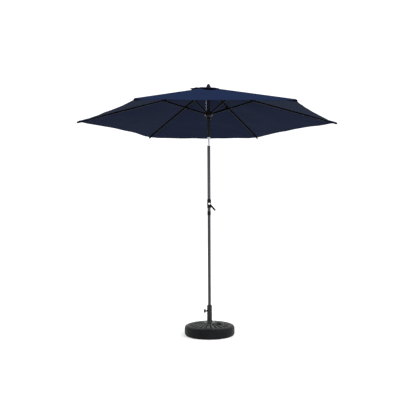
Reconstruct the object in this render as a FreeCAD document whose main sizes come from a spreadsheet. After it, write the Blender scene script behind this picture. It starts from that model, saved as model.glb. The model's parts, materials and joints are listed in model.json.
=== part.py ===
"""Crank-lift patio umbrella standing in a fillable round base, as a parametric FreeCAD document.

The origin is at the bottom centre of the base, on the pole's axis, with +Z up. Lengths are in
millimetres and angles in degrees. The umbrella is open, upright and wound up to its top stop.
"""

import FreeCAD, Part
import math
import os
import re

import Sketcher
from FreeCAD import Placement, Rotation, Vector

ARMS = 6
GROOVES = 24
SEAM_GAP = 0.0005
UP = Vector(0, 0, 1)
ALONG = {"X": Rotation(Vector(0, 1, 0), 90), "Y": Rotation(Vector(1, 0, 0), -90), "Z": Rotation()}

DIMENSIONS = {
    # tank, the hollow base that is filled with water or sand
    "tank_radius": 250,
    "tank_side": 84,
    "tank_edge": 16,
    "tank_foot_edge": 10,
    "tank_crown": 128,
    "tank_wall": 4,
    "tank_top_wall": 8,
    "hollow_foot": 6,
    "hollow_shoulder": 18,
    "hub_radius": 36,
    "hub_wall": 4,
    "crown_step": 3,
    "socket_floor": 12,
    "groove_depth": 2.5,
    "groove_half": 4.5,
    "groove_inner": 62,
    "groove_outer": 214,
    # filler opening and its cap
    "filler_x": 88,
    "filler_y": -60,
    "filler_rim": 27,
    "filler_boss": 16,
    "filler_top": 122,
    "filler_bore": 19,
    "cap_radius": 24,
    "cap_height": 5,
    "cap_plug": 12,
    "cap_skirt": 2,
    "cap_grip_reach": 17,
    "cap_grip_half": 2.5,
    "cap_grip_height": 4,
    "seal_height": 1.5,
    # tube that holds the pole, with the clamp screw
    "tube_radius": 25.4,
    "tube_wall": 2,
    "tube_top": 290,
    "foot_collar_radius": 31,
    "foot_collar_height": 9,
    "foot_collar_edge": 2,
    "clamp_height": 237,
    "clamp_thread": 5,
    "boss_radius": 9,
    "boss_end": 33,
    "knob_radius": 19,
    "knob_inner_end": 37,
    "knob_outer_end": 57,
    "knob_blind": 8,
    "bush_depth": 28,
    "bush_lip": 4,
    "bush_edge": 3,
    # pole
    "lower_radius": 15,
    "pole_radius": 16,
    "pole_wall": 1.3,
    "plug_flange": 3,
    "plug_length": 30,
    "coupler_low": 1192,
    "coupler_high": 1232,
    "coupler_radius": 17.6,
    "coupler_reach": 60,
    "coupler_bore": 8,
    "coupler_edge": 1,
    "coupler_screw": 14,
    "coupler_screw_start": 10,
    "middle_top": 1885,
    "upper_low": 1969,
    "upper_top": 2420,
    # crank
    "crank_height": 1308,
    "axle_radius": 4,
    "housing_half": 19,
    "housing_low": 1266,
    "housing_high": 1350,
    "housing_front": 38,
    "housing_rear": 21,
    "housing_screw_low": 1276,
    "housing_screw_high": 1340,
    "housing_screw_x": 6,
    "housing_screw_start": 30,
    "housing_round": 6,
    "screw_radius": 2,
    "screw_head": 2,
    "drum_radius": 8,
    "drum_flange": 11.6,
    "drum_half": 7,
    "drum_rim": 1.5,
    "axle_end": 18,
    "crank_throw": 85,
    "crank_angle": 49,
    "arm_near": 43,
    "arm_far": 49,
    "arm_wide": 11,
    "arm_hub": 10,
    "arm_hub_rise": 3,
    "arm_end": 7,
    "hub_cap_radius": 11,
    "hub_cap_side": 3,
    "hub_cap_height": 7,
    "grip_pin": 3,
    "grip_pin_head": 5,
    "grip_radius": 8.5,
    "grip_end": 112,
    # tilt joint
    "tilt_height": 1927,
    "knuckle_radius": 10,
    "tongue_half": 5,
    "cheek_far": 10.5,
    "tilt_pin": 3,
    "tilt_pin_start": 4,
    "insert_length": 45,
    "tilt_flange": 4,
    "button_height": 1990,
    "button_radius": 6,
    "button_end": 20,
    "button_length": 10,
    "button_pocket": 4,
    "spring_wire": 0.4,
    "spring_pitch": 1.5,
    "spring_length": 5.2,
    # hub, runner and lift cord
    "pivot_ring": 40,
    "hub_pivot": 2448,
    "hub_low": 2426,
    "hub_high": 2458,
    "hub_disc": 48,
    "hub_neck": 21,
    "hub_neck_depth": 22,
    "hub_pin_half": 10,
    "slot_play": 0.4,
    "pivot_pin": 2.5,
    "pivot_gap": 0.06,
    "runner_pivot": 2208,
    "runner_high": 2222,
    "runner_low": 2192,
    "runner_disc": 46,
    "runner_bore": 16.5,
    "runner_neck": 22,
    "runner_neck_low": 2150,
    "eyelet_radius": 5,
    "eyelet_height": 4,
    "eyelet_depth": 8,
    "groove_pin_half": 3.2,
    "groove_pin_reach": 9.6,
    "collar_radius": 30,
    "collar_wall": 2.5,
    "collar_height": 19,
    "collar_rim": 5,
    "cord_radius": 2.25,
    "cord_drop": 24,
    "pulley_centre": 2436,
    "pulley_half": 4,
    "pulley_rim": 4.8,
    "pulley_rim_edge": 0.8,
    "pulley_groove_edge": 2.2,
    "pulley_slot_near": 4,
    "pulley_slot_far": 28,
    "pulley_slot_half": 4.4,
    "pulley_slot_above": 16,
    "pulley_pin_half": 9,
    "cord_notch_near": 20,
    "cord_notch_half": 3.5,
    "finial_radius": 29,
    "finial_top": 2507,
    # ribs, struts and canopy
    "tip_radius": 1300,
    "tip_height": 2114,
    "rib_wide": 10,
    "rib_tall": 18,
    "rib_wall": 1.2,
    "bracket_reach": 405,
    "bracket_half": 13,
    "bracket_drop": 16.5,
    "bracket_eye": 6,
    "bracket_top": 1.6,
    "bracket_wall": 2.4,
    "rib_cap_lip": 0.4,
    "rib_cap_length": 22,
    "rib_plug": 18,
    "rib_solid": 14,
    "strut_wide": 9,
    "strut_tall": 14,
    "strut_wall": 1.2,
    "strut_plug": 16,
    "canopy_lift": 12.6,
    "canopy_thick": 1.2,
    "canopy_inner": 120,
    "canopy_outer": 1272,
    "hem_curve": 45,
    "vent_radius": 185,
    "vent_gap": 6,
    # clearances, and how far a cutting tool runs past a face or through a pole
    "gap": 0.3,
    "fit": 0.05,
    "past": 1,
    "through": 20,
}

doc = FreeCAD.newDocument("patio_umbrella")
sheet = doc.addObject("Spreadsheet::Sheet", "dims")
nodes = []


def fill_sheet():
    """One row for each driving dimension, with its name as the cell's alias."""
    for row, (name, size) in enumerate(DIMENSIONS.items(), 1):
        sheet.set(f"A{row}", name)
        sheet.set(f"B{row}", str(size))
        sheet.setAlias(f"B{row}", name)
    doc.recompute()


def formula(words):
    """A size in words, such as 'tube_top - gap', as an expression on the sheet's cells."""
    return re.sub(r"[a-z]\w*", lambda found: "dims." + found.group(), str(words))


def size(words):
    """What such a size comes to, in millimetres."""
    return float(sheet.evalExpression(formula(words)))


def bind(thing, **sizes):
    """Bind properties of a document object to the sheet."""
    for name, words in sizes.items():
        thing.setExpression(name.replace("_", "."), formula(words))


def block(name, x, y, z):
    """A box between two x, two y and two z sizes."""
    made = doc.addObject("Part::Box", name)
    bind(
        made,
        Length=f"({x[1]}) - ({x[0]})",
        Width=f"({y[1]}) - ({y[0]})",
        Height=f"({z[1]}) - ({z[0]})",
        Placement_Base_x=x[0],
        Placement_Base_y=y[0],
        Placement_Base_z=z[0],
    )
    return made


def rod(name, radius, start, end, at=(0, 0), along="Z"):
    """A round bar along an axis from start to end; at gives its other two coordinates in XYZ order."""
    made = doc.addObject("Part::Cylinder", name)
    made.Placement = Placement(Vector(), ALONG[along])
    base = list(at)
    base.insert("XYZ".index(along), start)
    bind(
        made,
        Radius=radius,
        Height=f"({end}) - ({start})",
        Placement_Base_x=base[0],
        Placement_Base_y=base[1],
        Placement_Base_z=base[2],
    )
    return made


def join(name, *parts):
    """One solid from several."""
    made = doc.addObject("Part::MultiFuse", name)
    made.Shapes = list(parts)
    made.Refine = True
    return made


def cut(name, base, *tools):
    """The first solid less the others."""
    made = doc.addObject("Part::Cut", name)
    made.Base = base
    made.Tool = tools[0] if len(tools) == 1 else join(name + "_tools", *tools)
    return made


def group(name, *parts):
    """Separate solids that share one node."""
    made = doc.addObject("Part::Compound", name)
    made.Links = list(parts)
    return made


def tube(name, outer, inner, start, end, at=(0, 0), along="Z"):
    """A round bar with a hole right through it."""
    ends = f"({start}) - past", f"({end}) + past"
    hole = rod(name + "_hole", inner, *ends, at, along)
    return cut(name + "_ring", rod(name + "_bar", outer, start, end, at, along), hole)


def turned(name, outline, rounds=(), place=None):
    """A body turned about its own Z axis from (radius, height) corners; rounds are (corner, radius)."""
    body = doc.addObject("PartDesign::Body", name)
    sketch = body.newObject("Sketcher::SketchObject", name + "_outline")
    planes = {feature.Role: feature for feature in body.Origin.OriginFeatures}
    sketch.AttachmentSupport = (planes["XZ_Plane"], [""])
    sketch.MapMode = "FlatFace"
    corners = [Vector(size(r), size(z), 0) for r, z in outline]
    for start, end in zip(corners, corners[1:] + corners[:1]):
        sketch.addGeometry(Part.LineSegment(start, end), False)
    count = len(corners)
    for i in range(count):
        sketch.addConstraint(Sketcher.Constraint("Coincident", i, 2, (i + 1) % count, 1))
    for i, corner in enumerate(outline):
        for axis, kind, words in ((-2, "DistanceX", corner[0]), (-1, "DistanceY", corner[1])):
            if size(words) == 0:
                sketch.addConstraint(Sketcher.Constraint("PointOnObject", i, 1, axis))
                continue
            rule = Sketcher.Constraint(kind, -1, 1, i, 1, size(words))
            sketch.setExpression(f"Constraints[{sketch.addConstraint(rule)}]", formula(words))
    turn = body.newObject("PartDesign::Revolution", name + "_turn")
    turn.Profile = sketch
    turn.ReferenceAxis = (sketch, ["V_Axis"])
    turn.Angle = 360
    for corner, radius in rounds:
        doc.recompute()
        base = body.Tip
        edge = edge_at(base.Shape, corners[corner])
        fillet = body.newObject("PartDesign::Fillet", f"{name}_round_{corner}")
        fillet.Base = (base, [edge])
        fillet.setExpression("Radius", formula(radius))
    if place:
        body.Placement = place
    return body


def edge_at(shape, corner):
    """The name of the round edge that a corner of the outline turned into."""
    for i, edge in enumerate(shape.Edges, 1):
        if not isinstance(edge.Curve, Part.Circle):
            continue
        if abs(edge.Curve.Radius - corner.x) < 0.01 and abs(edge.Curve.Center.z - corner.y) < 0.01:
            return f"Edge{i}"
    raise ValueError(f"no round edge at {corner}")


def feature(name, shape):
    """A shape made with Part's own functions."""
    made = doc.addObject("Part::Feature", name)
    made.Shape = shape
    return made


def node(made, name, place=None):
    """Name a finished sub-part, and put it in its place."""
    made.Label = name
    if place:
        made.Placement = place
    nodes.append(made)
    return made


def strand(points, bend):
    """A cord through points: straight runs, with an arc of radius bend at each inner point."""
    edges = []
    start = points[0]
    for before, corner, after in zip(points, points[1:], points[2:]):
        into = (corner - before).normalize()
        out = (after - corner).normalize()
        back = bend * math.tan(into.getAngle(out) / 2)
        first = corner - into * back
        last = corner + out * back
        inward = (out - into).normalize()
        depth = bend / math.cos(into.getAngle(out) / 2) - bend
        edges += [Part.LineSegment(start, first), Part.Arc(first, corner + inward * depth, last)]
        start = last
    edges.append(Part.LineSegment(start, points[-1]))
    return swept([edge.toShape() for edge in edges])


def swept(edges):
    """A round cord along joined edges."""
    wire = Part.Wire(edges)
    start = wire.OrderedVertexes[0].Point
    heading = edges[0].tangentAt(edges[0].FirstParameter)
    ring = Part.Wire(Part.makeCircle(size("cord_radius"), start, heading))
    return wire.makePipeShell([ring], True, False)


# ---------------------------------------------------------------- base


def base_tank():
    """Hollow moulded tank: a shallow cone on a round side, with a blind socket for the tube."""
    shell = turned(
        "tank_shell",
        [
            (0, 0),
            ("tank_radius", 0),
            ("tank_radius", "tank_side + tank_edge"),
            ("hub_radius", "tank_crown"),
            ("hub_radius - hub_wall", "tank_crown + crown_step"),
            ("tube_radius + gap", "tank_crown + crown_step"),
            ("tube_radius + gap", "socket_floor"),
            (0, "socket_floor"),
        ],
        rounds=((1, "tank_foot_edge"), (2, "tank_edge")),
    )
    hollow = turned(
        "tank_hollow",
        [
            ("hub_radius - hub_wall", "tank_wall"),
            ("tank_radius - tank_wall", "tank_wall + hollow_foot"),
            ("tank_radius - tank_wall", "tank_side - tank_wall"),
            ("tank_radius - hollow_shoulder", "tank_side + hollow_foot"),
            ("hub_radius - hub_wall", "tank_crown - tank_top_wall"),
        ],
    )
    neck = ("filler_x", "filler_y")
    grooved = cut("tank_grooved", shell, feature("tank_grooves", groove_cutters()))
    rim = rod("filler_rim_boss", "filler_rim", "filler_top - filler_boss", "filler_top", neck)
    bore = rod("filler_neck_bore", "filler_bore", "tank_side", "filler_top + past", neck)
    node(cut("base_tank", join("tank_with_rim", grooved, rim), hollow, bore), "base_tank")


def groove_cutters():
    """Round-ended bars laid along the tank's sloping top, all round."""
    inner = size("groove_inner")
    outer = size("groove_outer")
    half = size("groove_half")
    edge = size("tank_side + tank_edge")
    run = size("tank_radius - hub_radius")
    slope = math.atan((size("tank_crown") - edge) / run)
    length = (outer - inner) / math.cos(slope)
    tall = 4 * size("groove_depth")
    bar = Part.makeBox(length, 2 * half, tall, Vector(0, -half, 0))
    for end in (0, length):
        bar = bar.fuse(Part.makeCylinder(half, tall, Vector(end, 0, 0)))
    bar = bar.removeSplitter()
    floor = edge + (size("tank_radius") - inner) * math.tan(slope) - size("groove_depth")
    bar.Placement = Placement(Vector(inner, 0, floor), Rotation(Vector(0, 1, 0), math.degrees(slope)))
    bars = []
    for i in range(GROOVES):
        turned_bar = bar.copy()
        turned_bar.rotate(Vector(), UP, 360 / GROOVES * (i + 0.5))
        bars.append(turned_bar)
    return Part.makeCompound(bars)


def base_tube():
    """Steel tube that stands in the tank, with a welded boss for the clamp screw."""
    at = (0, "clamp_height")
    boss = rod("clamp_boss", "boss_radius", "-boss_end", "-(tube_radius - tube_wall / 2)", at, "X")
    outside = rod("tube_outside", "tube_radius", "socket_floor", "tube_top")
    bore = rod("tube_bore", "tube_radius - tube_wall", "socket_floor - past", "tube_top + past")
    thread = rod("clamp_hole", "clamp_thread + fit", "-boss_end - past", 0, at, "X")
    node(cut("base_tube", join("tube_with_boss", outside, boss), bore, thread), "base_tube")


def foot_collar():
    """Flared ring that covers the joint of tube and tank."""
    low = "tank_crown + crown_step"
    high = f"{low} + foot_collar_height"
    ring = turned(
        "foot_collar",
        [
            ("tube_radius + gap", low),
            ("foot_collar_radius", low),
            ("foot_collar_radius", f"{low} + foot_collar_edge"),
            ("tube_radius + foot_collar_edge", high),
            ("tube_radius + gap", high),
        ],
    )
    node(ring, "foot_collar")


def clamp():
    """Hand knob moulded on the screw that pinches the pole."""
    at = (0, "clamp_height")
    head = "-knob_outer_end + knob_blind"
    node(rod("clamp_screw", "clamp_thread", head, "-(lower_radius + gap)", at, "X"), "clamp_screw")
    thick = "(knob_outer_end - knob_inner_end)"
    body = turned(
        "knob_body",
        [
            (0, 0),
            ("knob_radius * 0.7", 0),
            ("knob_radius", f"{thick} * 0.3"),
            ("knob_radius", f"{thick} * 0.7"),
            ("knob_radius * 0.75", thick),
            (0, thick),
        ],
        rounds=((3, "knob_radius * 0.3"), (2, "knob_radius * 0.3"), (4, "knob_radius * 0.15")),
        place=Placement(
            Vector(-size("knob_inner_end"), 0, size("clamp_height")), Rotation(Vector(0, 1, 0), -90)
        ),
    )
    bore = rod("knob_bore", "clamp_thread", head, "-knob_inner_end + past", at, "X")
    node(cut("clamp_knob", body, bore), "clamp_knob")


def filler():
    """Screw cap of the filler opening, with a hollow skirt in the neck, and its sealing ring."""
    at = ("filler_x", "filler_y")
    low = "filler_top + seal_height"
    high = f"{low} + cap_height"
    node(tube("filler_seal", "cap_radius", "filler_bore + gap", "filler_top", low, at), "filler_seal")
    disc = rod("cap_disc", "cap_radius", low, high, at)
    skirt = tube(
        "cap_skirt",
        "filler_bore - gap",
        "filler_bore - gap - cap_skirt",
        "filler_top - cap_plug",
        f"{low} + past",
        at,
    )
    grip = block(
        "cap_grip",
        ("filler_x - cap_grip_reach", "filler_x + cap_grip_reach"),
        ("filler_y - cap_grip_half", "filler_y + cap_grip_half"),
        (high, f"{high} + cap_grip_height"),
    )
    node(join("filler_cap", disc, skirt, grip), "filler_cap")


def top_bush():
    """Reducing bush in the tube's mouth that the pole stands in."""
    bush = turned(
        "top_bush",
        [
            ("lower_radius + gap", "tube_top - bush_depth"),
            ("tube_radius - tube_wall - gap", "tube_top - bush_depth"),
            ("tube_radius - tube_wall - gap", "tube_top"),
            ("tube_radius", "tube_top"),
            ("tube_radius - bush_edge", "tube_top + bush_lip"),
            ("lower_radius + gap", "tube_top + bush_lip"),
        ],
    )
    node(bush, "top_bush")


# ---------------------------------------------------------------- pole


def lower_pole():
    """Plain pole that stands in the base, with a plastic plug in its foot."""
    low = "socket_floor + gap"
    plug = join(
        "pole_end_plug",
        rod("plug_foot", "lower_radius", low, f"{low} + plug_flange"),
        rod("plug_shank", "lower_radius - pole_wall", low, f"{low} + plug_length"),
    )
    node(plug, "pole_end_plug")
    start = f"{low} + plug_flange"
    node(tube("lower_pole", "lower_radius", "lower_radius - pole_wall", start, "coupler_low"), "lower_pole")


def pole_coupler():
    """Collar with a plug each way that joins the lower and middle poles."""
    coupler = turned(
        "pole_coupler",
        [
            ("coupler_bore", "coupler_low - coupler_reach"),
            ("lower_radius - pole_wall", "coupler_low - coupler_reach"),
            ("lower_radius - pole_wall", "coupler_low"),
            ("coupler_radius - coupler_edge", "coupler_low"),
            ("coupler_radius", "coupler_low + 2 * coupler_edge"),
            ("coupler_radius", "coupler_high - 2 * coupler_edge"),
            ("coupler_radius - coupler_edge", "coupler_high"),
            ("pole_radius - pole_wall", "coupler_high"),
            ("pole_radius - pole_wall", "coupler_high + coupler_reach / 2"),
            ("coupler_bore", "coupler_high + coupler_reach / 2"),
        ],
    )
    node(coupler, "pole_coupler")


def middle_pole():
    """Pole with the crank's axle and the housing's screws through it."""
    pole = tube("middle_tube", "pole_radius", "pole_radius - pole_wall", "coupler_high", "middle_top")
    holes = [rod("axle_hole", "axle_radius + gap", "-through", "through", (0, "crank_height"), "Y")]
    for i, at in enumerate(housing_screw_places()):
        holes.append(rod(f"pole_screw_hole_{i}", "screw_radius + gap", "-through", "through", at, "Y"))
    node(cut("middle_pole", pole, *holes), "middle_pole")


def housing_screw_places():
    """X and Z of the crank housing's two screws."""
    return [("housing_screw_x", height) for height in ("housing_screw_low", "housing_screw_high")]


def screw(name, start, face, at):
    """A screw along Y with its head against a face at the back."""
    shank = rod(name + "_shank", "screw_radius", start, face, at, "Y")
    head = rod(name + "_head", "2 * screw_radius", face, f"{face} + screw_head", at, "Y")
    return join(name, shank, head)


def mast_screws():
    """Two screws of the crank housing and two of the coupler, each with its head at the back."""
    screws = [
        screw(f"housing_screw_{i}", "-housing_screw_start", "housing_rear", at)
        for i, at in enumerate(housing_screw_places())
    ]
    below = (0, "coupler_low - coupler_screw")
    above = (0, "coupler_high + coupler_screw")
    screws.append(screw("coupler_screw_0", "coupler_screw_start", "lower_radius", below))
    screws.append(screw("coupler_screw_1", "coupler_screw_start", "pole_radius", above))
    node(group("mast_screws", *screws), "mast_screws")


def crank_housing():
    """Two shells clamped round the pole; the front one carries the crank's bearing."""
    wide = ("-housing_half", "housing_half")
    tall = ("housing_low", "housing_high")
    ends = ("housing_low - past", "housing_high + past")
    axle_place = (0, "crank_height")
    for name, deep, axle_run, screw_run in (
        (
            "housing_front",
            ("-housing_front", "0"),
            ("-housing_front - past", "0"),
            ("-housing_screw_start - past", "0"),
        ),
        ("housing_rear", ("0", "housing_rear"), ("0", "axle_end + past"), ("0", "housing_rear + past")),
    ):
        rounded = doc.addObject("Part::Fillet", name + "_rounded")
        rounded.Base = block(name + "_block", wide, deep, tall)
        doc.recompute()
        around = size("housing_round")
        rounded.Edges = [(i, around, around) for i in outer_edges(rounded.Base, "front" in name)]
        pole = rod(name + "_pole", "pole_radius + fit", *ends)
        axle = rod(name + "_axle", "axle_radius + fit", *axle_run, axle_place, "Y")
        screws = [
            rod(f"{name}_screw_{i}", "screw_radius", *screw_run, at, "Y")
            for i, at in enumerate(housing_screw_places())
        ]
        node(cut(name, rounded, pole, axle, *screws), name)


def outer_edges(shell, front):
    """Numbers of a housing block's edges on its outer face."""
    box = shell.Shape.BoundBox
    face = box.YMin if front else box.YMax
    return [
        i
        for i, edge in enumerate(shell.Shape.Edges, 1)
        if all(abs(vertex.Point.y - face) < 0.01 for vertex in edge.Vertexes)
    ]


def crank():
    """Axle with its cord drum, and the arm, bright hub cap, pin and free grip outside."""
    at = (0, "crank_height")
    node(rod("crank_axle", "axle_radius", "-arm_far", "axle_end", at, "Y"), "crank_axle")
    drum = [rod("drum_core", "drum_radius", "-drum_half", "drum_half", at, "Y")]
    drum.append(rod("drum_flange_front", "drum_flange", "-drum_half - drum_rim", "-drum_half", at, "Y"))
    drum.append(rod("drum_flange_rear", "drum_flange", "drum_half", "drum_half + drum_rim", at, "Y"))
    bore = rod("drum_bore", "axle_radius", "-through", "through", at, "Y")
    node(cut("crank_spool", join("drum_body", *drum), bore), "crank_spool")
    node(crank_arm(at), "crank_arm")
    cap = turned(
        "crank_hub_cap",
        [
            (0, 0),
            ("hub_cap_radius", 0),
            ("hub_cap_radius", "hub_cap_side"),
            ("hub_cap_radius * 0.6", "hub_cap_height - 0.5"),
            (0, "hub_cap_height"),
        ],
        rounds=((2, "2"),),
        place=Placement(Vector(0, -size("arm_far"), size("crank_height")), Rotation(Vector(1, 0, 0), 90)),
    )
    node(cap, "crank_hub_cap")
    crank_grip()


def crank_end():
    """X and Z of the grip's pin."""
    turn = math.radians(size("crank_angle"))
    throw = size("crank_throw")
    return throw * math.cos(turn), size("crank_height") - throw * math.sin(turn)


def crank_arm(at):
    """Flat bar from the axle out to the grip's pin, with a raised hub."""
    web = doc.addObject("Part::Box", "arm_web")
    bind(web, Length="crank_throw", Width="arm_far - arm_near", Height="arm_wide")
    corner = Placement(Vector(0, -size("arm_far"), -size("arm_wide / 2")), Rotation())
    turn = Rotation(Vector(0, 1, 0), size("crank_angle"))
    web.Placement = Placement(Vector(0, 0, size("crank_height")), turn).multiply(corner)
    hub = rod("arm_hub_disc", "arm_hub", "-arm_far", "-arm_near + arm_hub_rise", at, "Y")
    eye = rod("arm_eye_disc", "arm_end", "-arm_far", "-arm_near", crank_end(), "Y")
    axle_hole = rod("arm_axle_hole", "axle_radius", "-arm_far - past", "-past", at, "Y")
    pin_hole = rod("arm_pin_hole", "grip_pin", "-arm_far - past", "-past", crank_end(), "Y")
    return cut("crank_arm", join("arm_body", web, hub, eye), axle_hole, pin_hole)


def crank_grip():
    """Waisted grip that spins on a headed pin."""
    shank = rod("grip_pin_shank", "grip_pin", "-grip_end", "-arm_near", crank_end(), "Y")
    head = rod("grip_pin_head", "grip_pin_head", "-grip_end - screw_head", "-grip_end", crank_end(), "Y")
    node(join("crank_grip_pin", shank, head), "crank_grip_pin")
    length = "(grip_end - arm_far - past)"
    end_x, end_z = crank_end()
    grip = turned(
        "grip_body",
        [
            ("grip_pin + fit", 0),
            ("grip_radius - 1", 0),
            ("grip_radius", f"{length} * 0.05"),
            ("grip_radius - 1.5", f"{length} * 0.2"),
            ("grip_radius", f"{length} * 0.75"),
            ("grip_radius - 2.5", length),
            ("grip_pin + fit", length),
        ],
        place=Placement(Vector(end_x, -size("arm_far + past / 2"), end_z), Rotation(Vector(1, 0, 0), 90)),
    )
    node(grip, "crank_grip")


# ---------------------------------------------------------------- tilt joint


def tilt_joint():
    """Tongue on the middle pole, slotted for the cord, fork on the upper pole, and two stub pins."""
    plug = "pole_radius - pole_wall"
    hole = "cord_radius + 1"
    across = ("-knuckle_radius", "knuckle_radius")
    thick = ("-tongue_half", "tongue_half")
    wide = ("-cheek_far", "cheek_far")
    through = ("-through", "through")
    pivot = (0, "tilt_height")
    tongue = join(
        "tongue_body",
        rod("tongue_plug", plug, "middle_top - insert_length", "middle_top"),
        rod("tongue_flange", "pole_radius", "middle_top", "middle_top + tilt_flange"),
        block("tongue_neck", across, thick, ("middle_top", "tilt_height")),
        rod("tongue_knuckle", "knuckle_radius", *thick, pivot, "Y"),
    )
    cord_hole = rod("tongue_cord_hole", hole, "middle_top - insert_length - past", "tilt_height + through")
    cord_slot = block(
        "tongue_cord_slot",
        (0, "knuckle_radius + past"),
        (f"-({hole})", hole),
        ("tilt_height", "tilt_height + knuckle_radius + past"),
    )
    pin_hole = rod("tongue_pin_hole", "tilt_pin + fit", *through, pivot, "Y")
    node(cut("tilt_tongue", tongue, cord_hole, cord_slot, pin_hole), "tilt_tongue")

    bare = join(
        "fork_body",
        rod("fork_plug", plug, "upper_low", "upper_low + insert_length"),
        rod("fork_flange", "pole_radius", "upper_low - tilt_flange", "upper_low"),
        block("fork_neck", across, wide, ("tilt_height", "upper_low - tilt_flange / 2")),
        rod("fork_knuckle", "knuckle_radius", *wide, pivot, "Y"),
    )
    slot = block(
        "fork_slot",
        ("-2 * knuckle_radius", "2 * knuckle_radius"),
        ("-tongue_half - gap", "tongue_half + gap"),
        ("tilt_height - through", "tilt_height + knuckle_radius + tilt_flange"),
    )
    cord_hole = rod("fork_cord_hole", hole, "tilt_height", "upper_low + insert_length + past")
    pin_hole = rod("fork_pin_hole", "tilt_pin", *through, pivot, "Y")
    at = (0, "button_height")
    pocket = rod("fork_button_pocket", "button_radius + gap", "-through", "-button_pocket", at, "Y")
    node(cut("tilt_fork", bare, slot, cord_hole, pin_hole, pocket), "tilt_fork")

    pins = []
    for side, sign in (("front", "-"), ("rear", "")):
        start, face, head = f"{sign}tilt_pin_start", f"{sign}cheek_far", f"{sign}(cheek_far + screw_head)"
        shank = rod(f"tilt_pin_shank_{side}", "tilt_pin", *sorted((start, face), key=size), pivot, "Y")
        cap = rod(f"tilt_pin_head_{side}", "1.7 * tilt_pin", *sorted((face, head), key=size), pivot, "Y")
        pins.append(join(f"tilt_pin_{side}", shank, cap))
    node(group("tilt_pins", *pins), "tilt_pins")


def coil(mean, pitch, length, wire):
    """Coil of six-sided wire that rises from the origin, bent in short straight lengths."""
    bends_per_turn = 18
    bends = round(length / pitch * bends_per_turn)
    line = []
    for k in range(bends + 1):
        angle = 2 * math.pi * k / bends_per_turn
        line.append(Vector(mean * math.cos(angle), mean * math.sin(angle), length * k / bends))
    heading = (line[1] - line[0]).normalize()
    out = Vector(1, 0, 0)
    up = heading.cross(out)
    corners = []
    for k in range(7):
        angle = math.pi * k / 3
        corners.append(line[0] + out * (wire * math.cos(angle)) + up * (wire * math.sin(angle)))
    right_corners = 1
    return Part.makePolygon(line).makePipeShell([Part.makePolygon(corners)], True, False, right_corners)


def tilt_button():
    """Push button that frees the tilt, and the spring behind it."""
    inner = Vector(0, -size("button_end - button_length"), size("button_height"))
    button = turned(
        "tilt_button",
        [
            (0, 0),
            ("button_radius", 0),
            ("button_radius", "button_length * 0.8"),
            ("button_radius * 0.75", "button_length"),
            (0, "button_length"),
        ],
        place=Placement(inner, Rotation(Vector(1, 0, 0), 90)),
    )
    node(button, "tilt_button")
    spring = coil(size("button_radius - 2"), size("spring_pitch"), size("spring_length"), size("spring_wire"))
    seat = Vector(0, -size("button_pocket + spring_wire"), size("button_height"))
    node(feature("tilt_spring", spring), "tilt_spring", Placement(seat, Rotation(Vector(1, 0, 0), 90)))


def upper_pole():
    """Pole between the tilt joint and the top hub, with the button's hole."""
    pole = tube("upper_tube", "pole_radius", "pole_radius - pole_wall", "upper_low", "upper_top")
    at = (0, "button_height")
    hole = rod("upper_button_hole", "button_radius + gap", "-through", "-button_pocket", at, "Y")
    node(cut("upper_pole", pole, hole), "upper_pole")


# ---------------------------------------------------------------- hub and runner


def radial(name, made):
    """The tool repeated for every arm, as separate solids."""
    doc.recompute()
    copies = []
    for i in range(ARMS):
        copy = made.Shape.copy()
        copy.rotate(Vector(), UP, 360 / ARMS * i)
        copies.append(copy)
    return feature(name, Part.makeCompound(copies))


def top_hub():
    """Slotted disc on the pole's top that holds the rib ends and the cord's pulley."""
    neck_low = "upper_top - hub_neck_depth"
    disc = join(
        "hub_body",
        rod("hub_disc_body", "hub_disc", "hub_low", "hub_high"),
        rod("hub_neck_body", "hub_neck", neck_low, "hub_low"),
    )
    slot = block(
        "hub_slot",
        ("pivot_ring - rib_tall / 2 - 2 * slot_play", "hub_disc + past"),
        ("-rib_wide / 2 - slot_play", "rib_wide / 2 + slot_play"),
        ("hub_low - past", "hub_high + past"),
    )
    rib_pivot = ("pivot_ring", "hub_pivot")
    pin = rod("hub_pin_hole", "pivot_pin", "-hub_pin_half", "hub_pin_half", rib_pivot, "Y")
    wheel = block(
        "pulley_slot",
        ("-pulley_slot_far", "pulley_slot_near"),
        ("-pulley_slot_half", "pulley_slot_half"),
        ("upper_top - past", "pulley_centre + pulley_slot_above"),
    )
    cord = block(
        "cord_notch",
        ("-pulley_slot_far", "-cord_notch_near"),
        ("-cord_notch_half", "cord_notch_half"),
        (f"{neck_low} - past", "upper_top + past"),
    )
    at = ("-cord_drop / 2", "pulley_centre")
    axle = rod("pulley_axle_hole", "pivot_pin", "-pulley_pin_half", "pulley_pin_half", at, "Y")
    pole = rod("hub_pole_bore", "pole_radius", f"{neck_low} - past", "upper_top")
    slots = radial("hub_slots", slot)
    pins = radial("hub_pin_holes", pin)
    node(cut("top_hub", disc, slots, pins, wheel, cord, axle, pole), "top_hub")


def hub_pins():
    """The six pins that the ribs turn on, and the pulley's axle."""
    ends = ("-hub_pin_half", "hub_pin_half")
    pins = radial("rib_pins", rod("rib_pin", "pivot_pin", *ends, ("pivot_ring", "hub_pivot"), "Y"))
    at = ("-cord_drop / 2", "pulley_centre")
    axle = rod("pulley_axle", "pivot_pin", "-pulley_pin_half", "pulley_pin_half", at, "Y")
    node(group("hub_pins", pins, axle), "hub_pins")


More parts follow.
